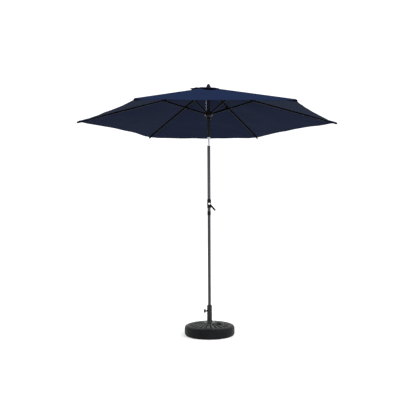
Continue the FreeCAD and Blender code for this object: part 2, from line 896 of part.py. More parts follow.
def pulley():
    """Grooved wheel that turns the lift cord over."""
    groove = "cord_drop / 2 - cord_radius"
    rim = f"{groove} + pulley_rim"
    wide = "2 * pulley_half"
    wheel = turned(
        "pulley",
        [
            ("pivot_pin + fit", 0),
            (rim, 0),
            (rim, "pulley_rim_edge"),
            (groove, "pulley_groove_edge"),
            (groove, f"{wide} - pulley_groove_edge"),
            (rim, f"{wide} - pulley_rim_edge"),
            (rim, wide),
            ("pivot_pin + fit", wide),
        ],
        place=Placement(
            Vector(-size("cord_drop / 2"), size("pulley_half"), size("pulley_centre")),
            Rotation(Vector(1, 0, 0), 90),
        ),
    )
    node(wheel, "pulley")


def finial():
    """Bullet-shaped cap that clamps the canopy's centre on the hub."""
    high = "finial_top - hub_high"
    cap = turned(
        "finial",
        [
            (0, 0),
            ("finial_radius", 0),
            ("finial_radius", 5),
            ("finial_radius * 0.62", f"({high}) * 0.6"),
            ("finial_radius * 0.3", f"({high}) * 0.92"),
            (0, high),
        ],
        rounds=((4, "4"), (2, "2")),
        place=Placement(Vector(0, 0, size("hub_high")), Rotation()),
    )
    node(cap, "finial")


def runner():
    """Slotted disc and neck that slide on the pole; the strut pins sit in its grooves."""
    eyelet = ("-cord_drop", 0)
    rim = "runner_high + eyelet_height"
    disc = join(
        "runner_body",
        rod("runner_disc_body", "runner_disc", "runner_low", "runner_high"),
        rod("runner_neck_body", "runner_neck", "runner_neck_low", "runner_low"),
        rod("cord_eyelet", "eyelet_radius", "runner_high", rim, eyelet),
    )
    bore = rod("runner_pole_bore", "runner_bore", "runner_neck_low - past", f"{rim} + past")
    keyway = block(
        "button_keyway",
        ("-button_radius - past", "button_radius + past"),
        ("-button_end - past", "0"),
        ("runner_neck_low - past", "runner_high + past"),
    )
    slot = block(
        "strut_slot",
        ("pivot_ring - strut_tall / 2 - past", "runner_disc + past"),
        ("-strut_wide / 2 - slot_play", "strut_wide / 2 + slot_play"),
        ("runner_low - past", "runner_high + past"),
    )
    across = ("-groove_pin_reach", "groove_pin_reach")
    groove = block(
        "pin_groove",
        ("pivot_ring - groove_pin_half", "pivot_ring + groove_pin_half"),
        across,
        ("runner_low - past", "runner_pivot"),
    )
    crown = rod("pin_groove_crown", "groove_pin_half", *across, ("pivot_ring", "runner_pivot"), "Y")
    cord = rod("cord_eyelet_hole", "cord_radius", "runner_high - eyelet_depth", f"{rim} + past", eyelet)
    slots = radial("runner_slots", join("strut_seat", slot, groove, crown))
    node(cut("runner", disc, bore, keyway, slots, cord), "runner")


def runner_collar():
    """Flared ring pressed on the runner's neck, under the struts' pins."""
    high = "runner_low - past"
    low = f"{high} - collar_height"
    collar = turned(
        "runner_collar_body",
        [
            ("runner_neck", low),
            ("runner_neck + collar_wall", low),
            ("collar_radius", f"{high} - collar_rim"),
            ("collar_radius", high),
            ("runner_neck", high),
        ],
    )
    node(collar, "runner_collar")


def lift_cords():
    """Cord from the drum to the tilt pivot, and from there over the pulley down to the runner."""
    side = -size("drum_radius + cord_radius")
    low = strand(
        [
            Vector(side, 0, size("crank_height")),
            Vector(side, 0, size("crank_height + 120")),
            Vector(0, 0, size("middle_top - 140")),
            Vector(0, 0, size("tilt_height - 0.7")),
        ],
        bend=1500,
    )
    node(feature("lift_cord_lower", low), "lift_cord_lower")
    drop = size("cord_drop")
    centre = Vector(-drop / 2, 0, size("pulley_centre"))
    start = Vector(0, 0, size("tilt_height + 0.7"))
    top = Vector(0, 0, centre.z)
    down = Vector(-drop, 0, centre.z)
    end = Vector(-drop, 0, size("runner_high - eyelet_depth"))
    over = Part.Arc(top, centre + Vector(0, 0, drop / 2), down)
    edges = [Part.LineSegment(start, top), over, Part.LineSegment(down, end)]
    node(feature("lift_cord", swept([edge.toShape() for edge in edges])), "lift_cord")


# ---------------------------------------------------------------- ribs, struts and canopy


def rib_slope():
    """How far an open rib dips below level, in degrees."""
    fall = size("hub_pivot - tip_height")
    return math.degrees(math.atan(fall / size("tip_radius - pivot_ring")))


def rib_length():
    """Hub pivot to rib tip."""
    return math.hypot(size("hub_pivot - tip_height"), size("tip_radius - pivot_ring"))


def arm_place(i):
    """From a rib's own frame, with its pivot at 0 and X along it, to its place round the hub."""
    swing = Placement(Vector(), Rotation(UP, 360 / ARMS * i))
    centre = Vector(size("pivot_ring"), 0, size("hub_pivot"))
    pivot = Placement(centre, Rotation(Vector(0, 1, 0), rib_slope()))
    return swing.multiply(pivot)


def strut_place(i):
    """From a strut's own frame, with its runner pivot at 0 and X along it, to its place."""
    inner, outer = strut_ends()
    rise = math.degrees(math.atan2(outer.z - inner.z, outer.x - inner.x))
    swing = Placement(Vector(), Rotation(UP, 360 / ARMS * i))
    return swing.multiply(Placement(inner, Rotation(Vector(0, 1, 0), -rise)))


def strut_ends():
    """Where a strut's two pivots are on the first arm."""
    slope = math.radians(rib_slope())
    reach = size("bracket_reach")
    drop = size("bracket_drop")
    outer = Vector(
        size("pivot_ring") + reach * math.cos(slope) - drop * math.sin(slope),
        0,
        size("hub_pivot") - reach * math.sin(slope) - drop * math.cos(slope),
    )
    return Vector(size("pivot_ring"), 0, size("runner_pivot")), outer


def rib(i):
    """Rectangular steel tube with a solid eye at the hub end."""
    name = f"rib_{i + 1}"
    end = f"{rib_length()} - rib_cap_length"
    half = ("-rib_wide / 2", "rib_wide / 2")
    tall = ("-rib_tall / 2", "rib_tall / 2")
    bar = block(name + "_bar", (0, end), half, tall)
    eye = rod(name + "_eye", "rib_tall / 2", *half, (0, 0), "Y")
    hollow = block(
        name + "_hollow",
        ("rib_solid", f"{end} + past"),
        ("-rib_wide / 2 + rib_wall", "rib_wide / 2 - rib_wall"),
        ("-rib_tall / 2 + rib_wall", "rib_tall / 2 - rib_wall"),
    )
    hole = rod(name + "_eye_hole", "pivot_pin + pivot_gap", "-rib_wide", "rib_wide", (0, 0), "Y")
    node(cut(name, join(name + "_solid", bar, eye), hollow, hole), name, arm_place(i))


def rib_fittings(i):
    """The rib's strut bracket with its pin, and the cap in the rib's end."""
    name = f"rib_fittings_{i + 1}"
    along = ("bracket_reach - bracket_half", "bracket_reach + bracket_half")
    outside = "(rib_wide / 2 + bracket_wall)"
    top = "rib_tall / 2"
    web = block(name + "_web", along, (f"-{outside}", outside), (top, f"{top} + bracket_top"))
    ears = [
        block(f"{name}_ear_{k}", along, sides, ("-bracket_drop - bracket_eye", f"{top} + past"))
        for k, sides in enumerate(((f"-{outside}", "-rib_wide / 2"), ("rib_wide / 2", outside)))
    ]
    pivot = ("bracket_reach", "-bracket_drop")
    pin_ends = (f"-{outside} - bracket_top", f"{outside} + bracket_top")
    hole = rod(name + "_hole", "pivot_pin", "-through", "through", pivot, "Y")
    pin = rod(name + "_pin", "pivot_pin", *pin_ends, pivot, "Y")
    bracket = cut(name + "_bracket", join(name + "_saddle", web, *ears), hole)
    node(group(name, bracket, pin, rib_end_cap(name)), name, arm_place(i))


def rib_end_cap(name):
    """Round-nosed cap pushed into the end of a rib."""
    end = rib_length()
    inside = "rib_wall + fit"
    nose = "(rib_tall / 2 + rib_cap_lip)"
    half = ("-rib_wide / 2 - rib_cap_lip", "rib_wide / 2 + rib_cap_lip")
    plug = block(
        name + "_cap_plug",
        (f"{end} - rib_cap_length - rib_plug", f"{end} - rib_cap_length + past"),
        (f"-rib_wide / 2 + {inside}", f"rib_wide / 2 - ({inside})"),
        (f"-rib_tall / 2 + {inside}", f"rib_tall / 2 - ({inside})"),
    )
    run = (f"{end} - rib_cap_length", f"{end} - {nose}")
    body = block(name + "_cap_body", run, half, (f"-{nose}", nose))
    tip = rod(name + "_cap_nose", nose, *half, (f"{end} - {nose}", 0), "Y")
    return join(name + "_cap", plug, body, tip)


def strut(i):
    """Stretcher from the runner to the rib's bracket, with its runner pin."""
    name = f"strut_{i + 1}"
    inner, outer = strut_ends()
    length = inner.distanceToPoint(outer)
    half = ("-strut_wide / 2", "strut_wide / 2")
    bar = block(name + "_bar", (0, length), half, ("-strut_tall / 2", "strut_tall / 2"))
    ends = [
        rod(f"{name}_end_{k}", "strut_tall / 2", *half, (x, 0), "Y") for k, x in enumerate((0, length))
    ]
    hollow = block(
        name + "_hollow",
        ("strut_plug", f"{length} - strut_plug"),
        ("-strut_wide / 2 + strut_wall", "strut_wide / 2 - strut_wall"),
        ("-strut_tall / 2 + strut_wall", "strut_tall / 2 - strut_wall"),
    )
    holes = [
        rod(name + "_pin_seat", "pivot_pin", "-strut_wide", "strut_wide", (0, 0), "Y"),
        rod(name + "_pin_hole", "pivot_pin + pivot_gap", "-strut_wide", "strut_wide", (length, 0), "Y"),
    ]
    tube_part = cut(name + "_tube", join(name + "_solid", bar, *ends), hollow, *holes)
    pin = rod(name + "_pin", "pivot_pin", "-strut_wide", "strut_wide", (0, 0), "Y")
    node(group(name, tube_part, pin), name, strut_place(i))


def roof_point(radius, lift, share):
    """A point of the six-sided roof: share is how far across to the next rib, along a level line."""
    slope = math.radians(rib_slope())
    height = size("hub_pivot") - (radius - size("pivot_ring")) * math.tan(slope) + lift / math.cos(slope)
    here = Vector(radius, 0, height)
    beside = Rotation(UP, math.copysign(360 / ARMS, share)).multVec(here)
    return here + (beside - here) * abs(share)


def gore_half(inner, outer, hem, lift, side):
    """Half of the cloth between two ribs, as a thin flat plate."""
    seam = side * (0.5 - SEAM_GAP)
    corners = [
        roof_point(inner, lift, 0),
        roof_point(outer, lift, 0),
        roof_point(hem, lift, seam),
        roof_point(inner, lift, seam),
    ]
    face = Part.Face(Part.makePolygon(corners + corners[:1]))
    return face.extrude(Vector(0, 0, size("canopy_thick")))


def canopy_panel(i):
    """The cloth that a rib carries: half a gore each side of it."""
    hem = size("canopy_outer - hem_curve")
    edges = (size("canopy_inner"), size("canopy_outer"), hem, size("canopy_lift"))
    halves = [gore_half(*edges, side) for side in (-1, 1)]
    place = Placement(Vector(), Rotation(UP, 360 / ARMS * i))
    node(feature(f"canopy_panel_{i + 1}", Part.makeCompound(halves)), f"canopy_panel_{i + 1}", place)


def vent_canopy():
    """Small top canopy over the vent opening, held under the finial."""
    lift = size("canopy_lift + canopy_thick + vent_gap")
    edges = (size("hub_disc + 2"), size("vent_radius"), size("vent_radius - 6"), lift)
    halves = []
    for i in range(ARMS):
        for side in (-1, 1):
            half = gore_half(*edges, side)
            half.rotate(Vector(), UP, 360 / ARMS * i)
            halves.append(half)
    node(feature("vent_canopy", Part.makeCompound(halves)), "vent_canopy")


# ---------------------------------------------------------------- whole


def check_and_export():
    """Stop at anything that failed, then write each sub-part to its own file."""
    for thing in doc.Objects:
        if {"Invalid", "Error"} & set(thing.State):
            raise RuntimeError(f"{thing.Name} failed: {thing.State}")
    os.makedirs("parts", exist_ok=True)
    for made in nodes:
        if made.Shape.isNull() or not made.Shape.isValid():
            raise RuntimeError(f"{made.Label} has no valid shape")
        made.Shape.exportStep(f"parts/{made.Label}.step")
        print(f"{made.Label:20s} {made.Shape.Volume / 1000:10.2f} cm3  {len(made.Shape.Solids)} solids")
    print(len(nodes), "sub-parts")


fill_sheet()
for make in (base_tank, base_tube, foot_collar, clamp, filler, top_bush):
    make()
for make in (lower_pole, pole_coupler, middle_pole, mast_screws, crank_housing, crank):
    make()
for make in (tilt_joint, tilt_button, upper_pole, top_hub, hub_pins, pulley, finial):
    make()
for make in (runner, runner_collar, lift_cords):
    make()
for arm in range(ARMS):
    for make in (rib, rib_fittings, strut, canopy_panel):
        make(arm)
vent_canopy()
doc.recompute()
check_and_export()
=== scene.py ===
"""Looks of a crank-lift patio umbrella in its round base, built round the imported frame.

Metres, +Z up, with the origin at the bottom centre of the base. Arm 1 points along +X and the
others follow every 60 degrees. Each rib carries two half gores of cloth, which meet the next
rib's half along the middle of the gore, so that the canopy folds with its ribs.
"""

import json
import math

import bpy
import numpy as np
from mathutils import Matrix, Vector, noise


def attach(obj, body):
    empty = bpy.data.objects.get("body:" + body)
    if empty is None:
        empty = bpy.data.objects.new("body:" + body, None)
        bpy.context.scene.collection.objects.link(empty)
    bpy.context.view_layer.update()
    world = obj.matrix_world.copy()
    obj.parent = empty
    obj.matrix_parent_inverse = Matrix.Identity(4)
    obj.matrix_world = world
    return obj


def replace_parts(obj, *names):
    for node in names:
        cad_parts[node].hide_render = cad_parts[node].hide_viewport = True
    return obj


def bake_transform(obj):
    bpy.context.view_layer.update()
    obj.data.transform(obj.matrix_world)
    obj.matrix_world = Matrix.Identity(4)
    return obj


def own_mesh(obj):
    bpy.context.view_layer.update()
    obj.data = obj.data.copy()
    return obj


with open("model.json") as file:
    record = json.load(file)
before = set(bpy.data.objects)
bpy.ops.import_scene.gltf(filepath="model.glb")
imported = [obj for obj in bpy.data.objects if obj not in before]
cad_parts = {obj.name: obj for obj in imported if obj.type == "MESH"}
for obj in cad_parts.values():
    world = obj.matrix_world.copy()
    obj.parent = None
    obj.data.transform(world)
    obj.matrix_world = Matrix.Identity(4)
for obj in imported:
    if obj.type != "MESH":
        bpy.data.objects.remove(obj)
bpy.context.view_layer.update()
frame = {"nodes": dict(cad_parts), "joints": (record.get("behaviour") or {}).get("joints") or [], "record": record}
joints = {joint["name"]: joint for joint in frame["joints"]}

# ---------------------------------------------------------------- sizes

ARMS = 6
PIVOT = Vector(joints["rib_1_fold"]["pos_m"])
TIP_RADIUS = 1.300
TIP_HEIGHT = 2.114
SLOPE = math.atan2(PIVOT.z - TIP_HEIGHT, TIP_RADIUS - PIVOT.x)
RIB_LENGTH = math.hypot(PIVOT.z - TIP_HEIGHT, TIP_RADIUS - PIVOT.x)
CLOSED_SLOPE = SLOPE + math.radians(joints["rib_1_fold"]["range_deg"][1])

CANOPY_LIFT = 0.0098
CANOPY_INNER = 0.138
CANOPY_OUTER = 1.287
CANOPY_BULGE = 0.050
CLOTH = 0.0012
HEM_WIDTH = 0.020
SEAM_WIDTH = 0.0085
# for each gore from arm 1 on: how far its hem curves in towards the pole, and how far it sags
GORE_HEMS = (
    (0.042, 0.004),
    (0.016, 0.017),
    (0.042, 0.004),
    (0.045, 0.003),
    (0.045, 0.003),
    (0.045, 0.003),
)

CAP_INNER = 0.0295
CAP_OUTER = 0.185
CAP_CENTRE_Z = 2.4596
CAP_CORNER_Z = 2.4310
CAP_SAG = 0.0005
CAP_RIB_LIFT = 0.030
CAP_BULGE = 0.012
CAP_HEM_WIDTH = 0.012
# how far the small canopy's hem stands above its plain height, at each arm and in the middle of each gore
CAP_ARM_LIFTS = (0.001, 0.003, 0.005, 0.026, 0.002, -0.008)
CAP_GORE_LIFTS = (0.000, 0.000, 0.004, 0.020, 0.001, -0.010)

CORD_RADIUS = 0.00225

CAMERA_DISTANCE = 5.547
CAMERA_HEIGHT = 1.218
CAMERA_TURN = math.radians(3.1)
CAMERA_ROLL = math.radians(0.27)
CAMERA_LENS = 48.02
CAMERA_SHIFT = (-0.0026, 0.0112)


# ---------------------------------------------------------------- camera


def add_camera():
    """A camera in front of the crank, turned a little so that the left rib tip is the nearer one."""
    data = bpy.data.cameras.new("camera")
    data.sensor_width = 36
    data.lens = CAMERA_LENS
    data.shift_x, data.shift_y = CAMERA_SHIFT
    data.clip_end = 100
    camera = bpy.data.objects.new("camera", data)
    camera.location = (
        -CAMERA_DISTANCE * math.sin(CAMERA_TURN),
        -CAMERA_DISTANCE * math.cos(CAMERA_TURN),
        CAMERA_HEIGHT,
    )
    camera.rotation_euler = (math.pi / 2, CAMERA_ROLL, -CAMERA_TURN)
    bpy.context.scene.collection.objects.link(camera)
    bpy.context.scene.camera = camera


add_camera()


# ---------------------------------------------------------------- materials


class Finish:
    """A material being made: its shader, and short ways to add nodes and join them."""

    def __init__(self, name, **constants):
        self.material = bpy.data.materials.new(name)
        self.material.use_nodes = True
        self.tree = self.material.node_tree
        self.shader = self.tree.nodes["Principled BSDF"]
        self.feed_all(self.shader, constants)
        self.coordinates = self.tree.nodes.new("ShaderNodeTexCoord").outputs["Object"]

    def feed(self, socket, value):
        if isinstance(value, bpy.types.NodeSocket):
            self.tree.links.new(value, socket)
        else:
            socket.default_value = value

    def feed_all(self, node, values):
        for name, value in values.items():
            self.feed(node.inputs[name.replace("_", " ")], value)

    def add(self, kind, **values):
        node = self.tree.nodes.new("ShaderNode" + kind)
        self.feed_all(node, values)
        return node

    def math(self, operation, a, b=0.0):
        node = self.tree.nodes.new("ShaderNodeMath")
        node.operation = operation
        self.feed(node.inputs[0], a)
        self.feed(node.inputs[1], b)
        return node.outputs[0]

    def mix(self, share, a, b):
        node = self.tree.nodes.new("ShaderNodeMix")
        node.data_type = "RGBA"
        self.feed(node.inputs["Factor"], share)
        self.feed(node.inputs[6], a)
        self.feed(node.inputs[7], b)
        return node.outputs[2]

    def noise(self, scale, detail=3.0, stretch=(1, 1, 1), where=None):
        mapping = self.add("Mapping", Vector=where or self.coordinates, Scale=stretch)
        found = self.add("TexNoise", Vector=mapping.outputs[0], Scale=scale, Detail=detail)
        return found.outputs[0]

    def ranged(self, value, low, high, to_low=0.0, to_high=1.0):
        node = self.add("MapRange", Value=value)
        self.feed_all(node, {"From_Min": low, "From_Max": high, "To_Min": to_low, "To_Max": to_high})
        return node.outputs[0]

    def bump(self, height, distance, strength=1.0, onto=None):
        node = self.add("Bump", Height=height, Distance=distance, Strength=strength)
        if onto is not None:
            self.feed(node.inputs["Normal"], onto)
        return node.outputs[0]

    def colour(self, value):
        self.feed(self.shader.inputs["Base Color"], value)

    def roughness(self, value):
        self.feed(self.shader.inputs["Roughness"], value)

    def normal(self, value):
        self.feed(self.shader.inputs["Normal"], value)


def shade(colour, factor):
    """A colour made darker or lighter, as a socket value."""
    return (*(channel * factor for channel in colour), 1)


def cloth(name, colour, sheen):
    """Plain-woven polyester: slubs, faint fading, two rows of stitches along the hem and one by the seam."""
    made = Finish(
        name,
        Roughness=0.82,
        Sheen_Weight=sheen,
        Sheen_Roughness=0.45,
        Sheen_Tint=(0.75, 0.8, 0.92, 1),
        Specular_IOR_Level=0.0,
    )
    flat = made.add("UVMap")
    flat.uv_map = "Cloth"
    edges = made.add("UVMap")
    edges.uv_map = "Edges"
    thread = 0.0011
    along, across = made.add("SeparateXYZ", Vector=flat.outputs[0]).outputs[:2]
    hem, seam = made.add("SeparateXYZ", Vector=edges.outputs[0]).outputs[:2]
    turns = 2 * math.pi / thread
    warp = made.math("SINE", made.math("MULTIPLY", along, turns))
    weft = made.math("SINE", made.math("MULTIPLY", across, turns))
    weave = made.ranged(made.math("MULTIPLY", warp, weft), -1, 1)
    slubs = made.noise(900, 2, (1, 0.04, 1), flat.outputs[0])
    cross_slubs = made.noise(900, 2, (0.04, 1, 1), flat.outputs[0])
    tone = made.math("ADD", made.math("MULTIPLY", slubs, 0.5), made.math("MULTIPLY", cross_slubs, 0.5))
    base = made.mix(made.ranged(tone, 0.35, 0.65), shade(colour, 0.84), shade(colour, 1.16))
    fading = made.ranged(made.noise(2.2, 4), 0.35, 0.7)
    base = made.mix(made.math("MULTIPLY", fading, 0.18), base, shade(colour, 1.5))
    rows = stitches(made, hem, across, line=0.017)
    for distance, run, line in ((hem, across, 0.0035), (seam, along, 0.0068)):
        rows = made.math("MAXIMUM", rows, stitches(made, distance, run, line))
    made.colour(made.mix(made.math("MULTIPLY", rows, 0.55), base, shade(colour, 2.6)))
    puckers = made.bump(made.noise(26, 3), 0.0016, 0.35)
    woven = made.bump(weave, 0.00012, 0.5, puckers)
    made.normal(made.bump(rows, 0.0004, 0.8, woven))
    return made.material


def stitches(made, distance, run, line):
    """A broken line of thread at a distance from an edge: 1 on the thread and 0 off it."""
    half_thread, stitch_length, gap_level = 0.0005, 0.0042, -0.45
    aside = made.math("ABSOLUTE", made.math("SUBTRACT", distance, line))
    near = made.math("LESS_THAN", aside, half_thread)
    beat = made.math("SINE", made.math("MULTIPLY", run, 2 * math.pi / stitch_length))
    return made.math("MULTIPLY", near, made.math("GREATER_THAN", beat, gap_level))


def powder_coat(name, colour, roughness, specular):
    """Stoved powder paint: fine orange peel, slightly uneven gloss and a few rubbed patches."""
    made = Finish(name, Specular_IOR_Level=specular)
    patches = made.ranged(made.noise(9, 5, (1, 1, 0.35)), 0.35, 0.7)
    made.colour(made.mix(patches, shade(colour, 0.88), shade(colour, 1.14)))
    made.roughness(made.ranged(patches, 0, 1, roughness - 0.05, roughness + 0.09))
    made.normal(made.bump(made.noise(900, 2), 0.00012, 0.5))
    return made.material


def moulded(name, colour, roughness, grain=700, depth=0.00025, specular=0.4, sheen=0.0):
    """Moulded plastic with a fine sparked grain and a little dust in its tone."""
    made = Finish(name, Specular_IOR_Level=specular, Sheen_Weight=sheen, Sheen_Roughness=0.3)
    cloud = made.ranged(made.noise(14, 4), 0.3, 0.72)
    made.colour(made.mix(cloud, shade(colour, 0.82), shade(colour, 1.24)))
    made.roughness(made.ranged(made.noise(60, 3), 0.3, 0.7, roughness - 0.06, roughness + 0.08))
    made.normal(made.bump(made.noise(grain, 3), depth, 0.6))
    return made.material


def plated(name, colour, roughness, stretch=(1, 1, 0.08)):
    """Plated steel with faint drawn lines."""
    made = Finish(name, Metallic=1.0)
    lines = made.noise(420, 2, stretch)
    made.colour(made.mix(made.ranged(lines, 0.3, 0.7), shade(colour, 0.9), shade(colour, 1.06)))
    made.roughness(made.ranged(lines, 0.3, 0.7, roughness - 0.05, roughness + 0.1))
    made.normal(made.bump(lines, 0.00005, 0.4))
    return made.material


def braid(name, colour):
    """Braided cord: crossing strands, with painted shade darkening the gaps between them."""
    made = Finish(name, Roughness=0.8, Sheen_Weight=0.3, Specular_IOR_Level=0.3)
    fibres = made.noise(1500, 2, (1, 1, 0.2))
    # darker where the bump sinks: painted shade between the strands
    made.colour(made.mix(made.ranged(fibres, 0.3, 0.7), shade(colour, 0.78), shade(colour, 1.12)))
    made.normal(made.bump(fibres, 0.0002, 0.6))
    return made.material


def paper_white(name):
    """Plain pale studio floor, which glows a little so that the shadows on it stay faint."""
    made = Finish(
        name,
        Roughness=0.9,
        Specular_IOR_Level=0.0,
        Emission_Color=(1, 1, 1, 1),
        Emission_Strength=0.2,
    )
    made.colour(made.mix(made.noise(1.5, 2), (0.89, 0.89, 0.89, 1), (0.91, 0.91, 0.91, 1)))
    return made.material


NAVY = (0.0118, 0.0192, 0.0500)
# a darker copy of the navy for the cloth's underside and cut edges: painted shade under the canopy
NAVY_UNDERSIDE_PAINTED_SHADE = (0.0064, 0.0094, 0.0222)
POCKET_NAVY = (0.0030, 0.0042, 0.0085)
TANK_BLACK = (0.0058, 0.0063, 0.0072)
# the lighter of two copies of the tank's black plastic: a painted highlight on the petal crests and round the
# collars
TANK_PAINTED_HIGHLIGHT_BLACK = (0.0105, 0.0113, 0.0128)

FINISHES = {
    "navy": cloth("navy_cloth", NAVY, 0.0),
    "navy_painted_shade": cloth("navy_cloth_underside_painted_shade", NAVY_UNDERSIDE_PAINTED_SHADE, 0.03),
    "crown": moulded("navy_crown_patch", NAVY, 0.80, grain=1200, depth=0.0003, specular=0.02),
    "pocket": moulded("navy_rib_pocket", POCKET_NAVY, 0.85, grain=1200, depth=0.0003, specular=0.02),
    "tank_painted_highlight": moulded("black_moulded_tank_painted_highlight", TANK_PAINTED_HIGHLIGHT_BLACK, 0.44, 420, 0.0004, 0.30, 0.05),
    "moulded_tank": moulded("black_moulded_tank", TANK_BLACK, 0.46, 420, 0.0004, 0.06, 0.035),
    "dark_steel": powder_coat("dark_grey_powder_coat", (0.054, 0.057, 0.064), 0.45, 0.12),
    # a darker copy of the pole's grey powder coat: painted shade, darker towards the bottom
    "lower_painted_shade_steel": powder_coat("lower_pole_painted_shade_powder_coat", (0.034, 0.036, 0.040), 0.45, 0.10),
    # a darker copy of the pole's grey powder coat: painted shade of the canopy over the upper pole
    "canopy_painted_shade_steel": powder_coat("upper_pole_painted_shade_powder_coat", (0.0100, 0.0110, 0.0135), 0.42, 0.10),
    "tube_steel": powder_coat("base_tube_powder_coat", (0.0165, 0.0175, 0.0200), 0.32, 0.12),
    "black_steel": powder_coat("black_powder_coat", (0.0016, 0.0016, 0.0018), 0.42, 0.03),
    "black_plastic": moulded("black_plastic", (0.0030, 0.0032, 0.0036), 0.42, specular=0.12),
    "black_gloss": moulded("black_gloss_plastic", (0.0025, 0.0025, 0.0028), 0.24, specular=0.16),
    "zinc": plated("zinc_plate", (0.60, 0.61, 0.63), 0.30),
    "chrome": plated("chrome_plate", (0.85, 0.86, 0.88), 0.12, (1, 1, 1)),
    "grey_nylon": moulded("grey_nylon", (0.030, 0.031, 0.033), 0.28, specular=0.5),
    "seal_rubber": moulded("black_rubber", (0.012, 0.012, 0.012), 0.75, 300),
    "grey_cord": braid("light_grey_braid", (0.46, 0.47, 0.50)),
}
NODE_FINISHES = {
    # the upper pole takes a darker copy of the grey coat, painted shade under the canopy
    "upper_pole": "canopy_painted_shade_steel",
    # the lower pole takes a darker copy of the grey coat, painted shade towards the bottom
    "lower_pole": "lower_painted_shade_steel",
    "base_tube": "tube_steel",
    "runner_collar": "black_gloss",
    # the foot collar takes the tank's lighter copy of its plastic, a painted highlight
    "foot_collar": "tank_painted_highlight",
}


def finish_cad_nodes():
    """Give every carried-over sub-part its own finish, or else that of its material slot."""
    for part in frame["record"]["subparts"]:
        finish = FINISHES.get(NODE_FINISHES.get(part["node"], part["material_slot"]))
        if finish is None:
            continue
        mesh = frame["nodes"][part["node"]].data
        mesh.materials.clear()
        mesh.materials.append(finish)


finish_cad_nodes()


def press_spring():
    """Gives the spring a mesh of its own."""
    spring = frame["nodes"]["tilt_spring"]
    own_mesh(spring)


press_spring()


# ---------------------------------------------------------------- mesh helpers


def smooth_step(value, low, high):
    """0 below low, 1 above high, and a soft ramp between them."""
    share = np.clip((value - low) / (high - low), 0, 1)
    return share * share * (3 - 2 * share)


def ring_faces(rings, sides, first=0, flip=False):
    """Faces that join each ring of points to the next one, or the same faces turned over."""
    faces = []
    for ring in range(rings - 1):
        start = first + ring * sides
        for k in range(sides):
            here = start + k
            beside = start + (k + 1) % sides
            face = (here, beside, beside + sides, here + sides)
            faces.append((face[0], *face[:0:-1]) if flip else face)
    return faces


def end_faces(rings, sides):
    """The two faces that close the first and the last ring."""
    last = (rings - 1) * sides
    return [tuple(range(sides))[::-1], tuple(range(last, last + sides))]


def add_piece(name, points, faces, finishes, smooth=True):
    """A mesh object from points and faces."""
    mesh = bpy.data.meshes.new(name)
    mesh.from_pydata([tuple(point) for point in points], [], faces)
    mesh.polygons.foreach_set("use_smooth", [smooth] * len(mesh.polygons))
    for finish in finishes:
        mesh.materials.append(FINISHES[finish])
    mesh.update()
    made = bpy.data.objects.new(name, mesh)
    bpy.context.scene.collection.objects.link(made)
    return made


def tube_mesh(name, line, radius_at, sides, finish):
    """A closed tube whose rings are centred on the line's points; radius_at(run, angle) shapes each ring."""
    points = []
    heading = (line[1] - line[0]).normalized()
    across = heading.orthogonal().normalized()
    run = 0.0
    for i, centre in enumerate(line):
        before = line[max(i - 1, 0)]
        after = line[min(i + 1, len(line) - 1)]
        turn = heading.rotation_difference((after - before).normalized())
        heading = turn @ heading
        across = (turn @ across).normalized()
        beside = heading.cross(across)
        if i:
            run += (centre - line[i - 1]).length
        for k in range(sides):
            angle = 2 * math.pi * k / sides
            out = across * math.cos(angle) + beside * math.sin(angle)
            points.append(centre + out * radius_at(run, angle))
    faces = ring_faces(len(line), sides) + end_faces(len(line), sides)
    return add_piece(name, points, faces, [finish])


# ---------------------------------------------------------------- base tank

PETALS = 24
PETAL_HEIGHT = 0.0085
PETAL_SINK = 0.0065
PETAL_HALF_WIDTH = 0.0155
PETAL_REACH = (0.060, 0.182)
TANK_RADIUS = 0.250
TANK_PROFILE = [
    (0.0257, 0.1310),
    (0.0320, 0.1310),
    (0.0360, 0.1285),
    (0.0400, 0.1272),
    (0.2050, 0.1010),
    (0.2180, 0.0988),
    (0.2300, 0.0953),
    (0.2400, 0.0900),
    (0.2465, 0.0830),
    (0.2492, 0.0760),
    (TANK_RADIUS, 0.0680),
    (TANK_RADIUS, 0.0320),
    (0.2493, 0.0220),
    (0.2470, 0.0130),
    (0.2430, 0.0060),
    (0.2380, 0.0020),
    (0.2320, 0.0005),
    (0.2260, 0.0000),
    (0.2200, 0.0000),
]
FILLER = (0.088, -0.060)
FILLER_RIM = 0.027
FILLER_TOP = 0.1220
MOULDED_REACH = (0.045, 0.220)
MOULDED_FOOT = 0.098
COLLAR_REACH = 0.065


def petal_height(radius, angle):
    """Height of the moulded petals over the tank's sloping top, with valleys between them."""
    share = (angle * PETALS / (2 * math.pi)) % 1 - 0.5
    pitch = 2 * math.pi * radius / PETALS
    across = abs(share) * pitch
    half = min(0.35 * pitch, PETAL_HALF_WIDTH)
    over_end = max(0.0, radius - PETAL_REACH[1], PETAL_REACH[0] - radius) / half
    from_middle = math.hypot(across / half, over_end)
    crown = max(0.0, 1 - from_middle**2) ** 0.55
    return PETAL_HEIGHT * crown * smooth_step(radius, 0.045, 0.095)


def top_moulding(radius, angle, height):
    """How far a spot of the sloping top is raised or sunk, and how much of that is petal."""
    x, y = radius * math.cos(angle), radius * math.sin(angle)
    from_filler = math.hypot(x - FILLER[0], y - FILLER[1])
    clear = smooth_step(from_filler, FILLER_RIM + 0.003, FILLER_RIM + 0.016)
    petal = petal_height(radius, angle) * clear
    sunk = smooth_step(radius, 0.05, 0.09) * (1 - smooth_step(radius, 0.190, 0.206))
    boss = 1 - smooth_step(from_filler, FILLER_RIM - 0.001, FILLER_RIM + 0.005)
    return petal - PETAL_SINK * sunk * clear + (FILLER_TOP - height) * boss, petal


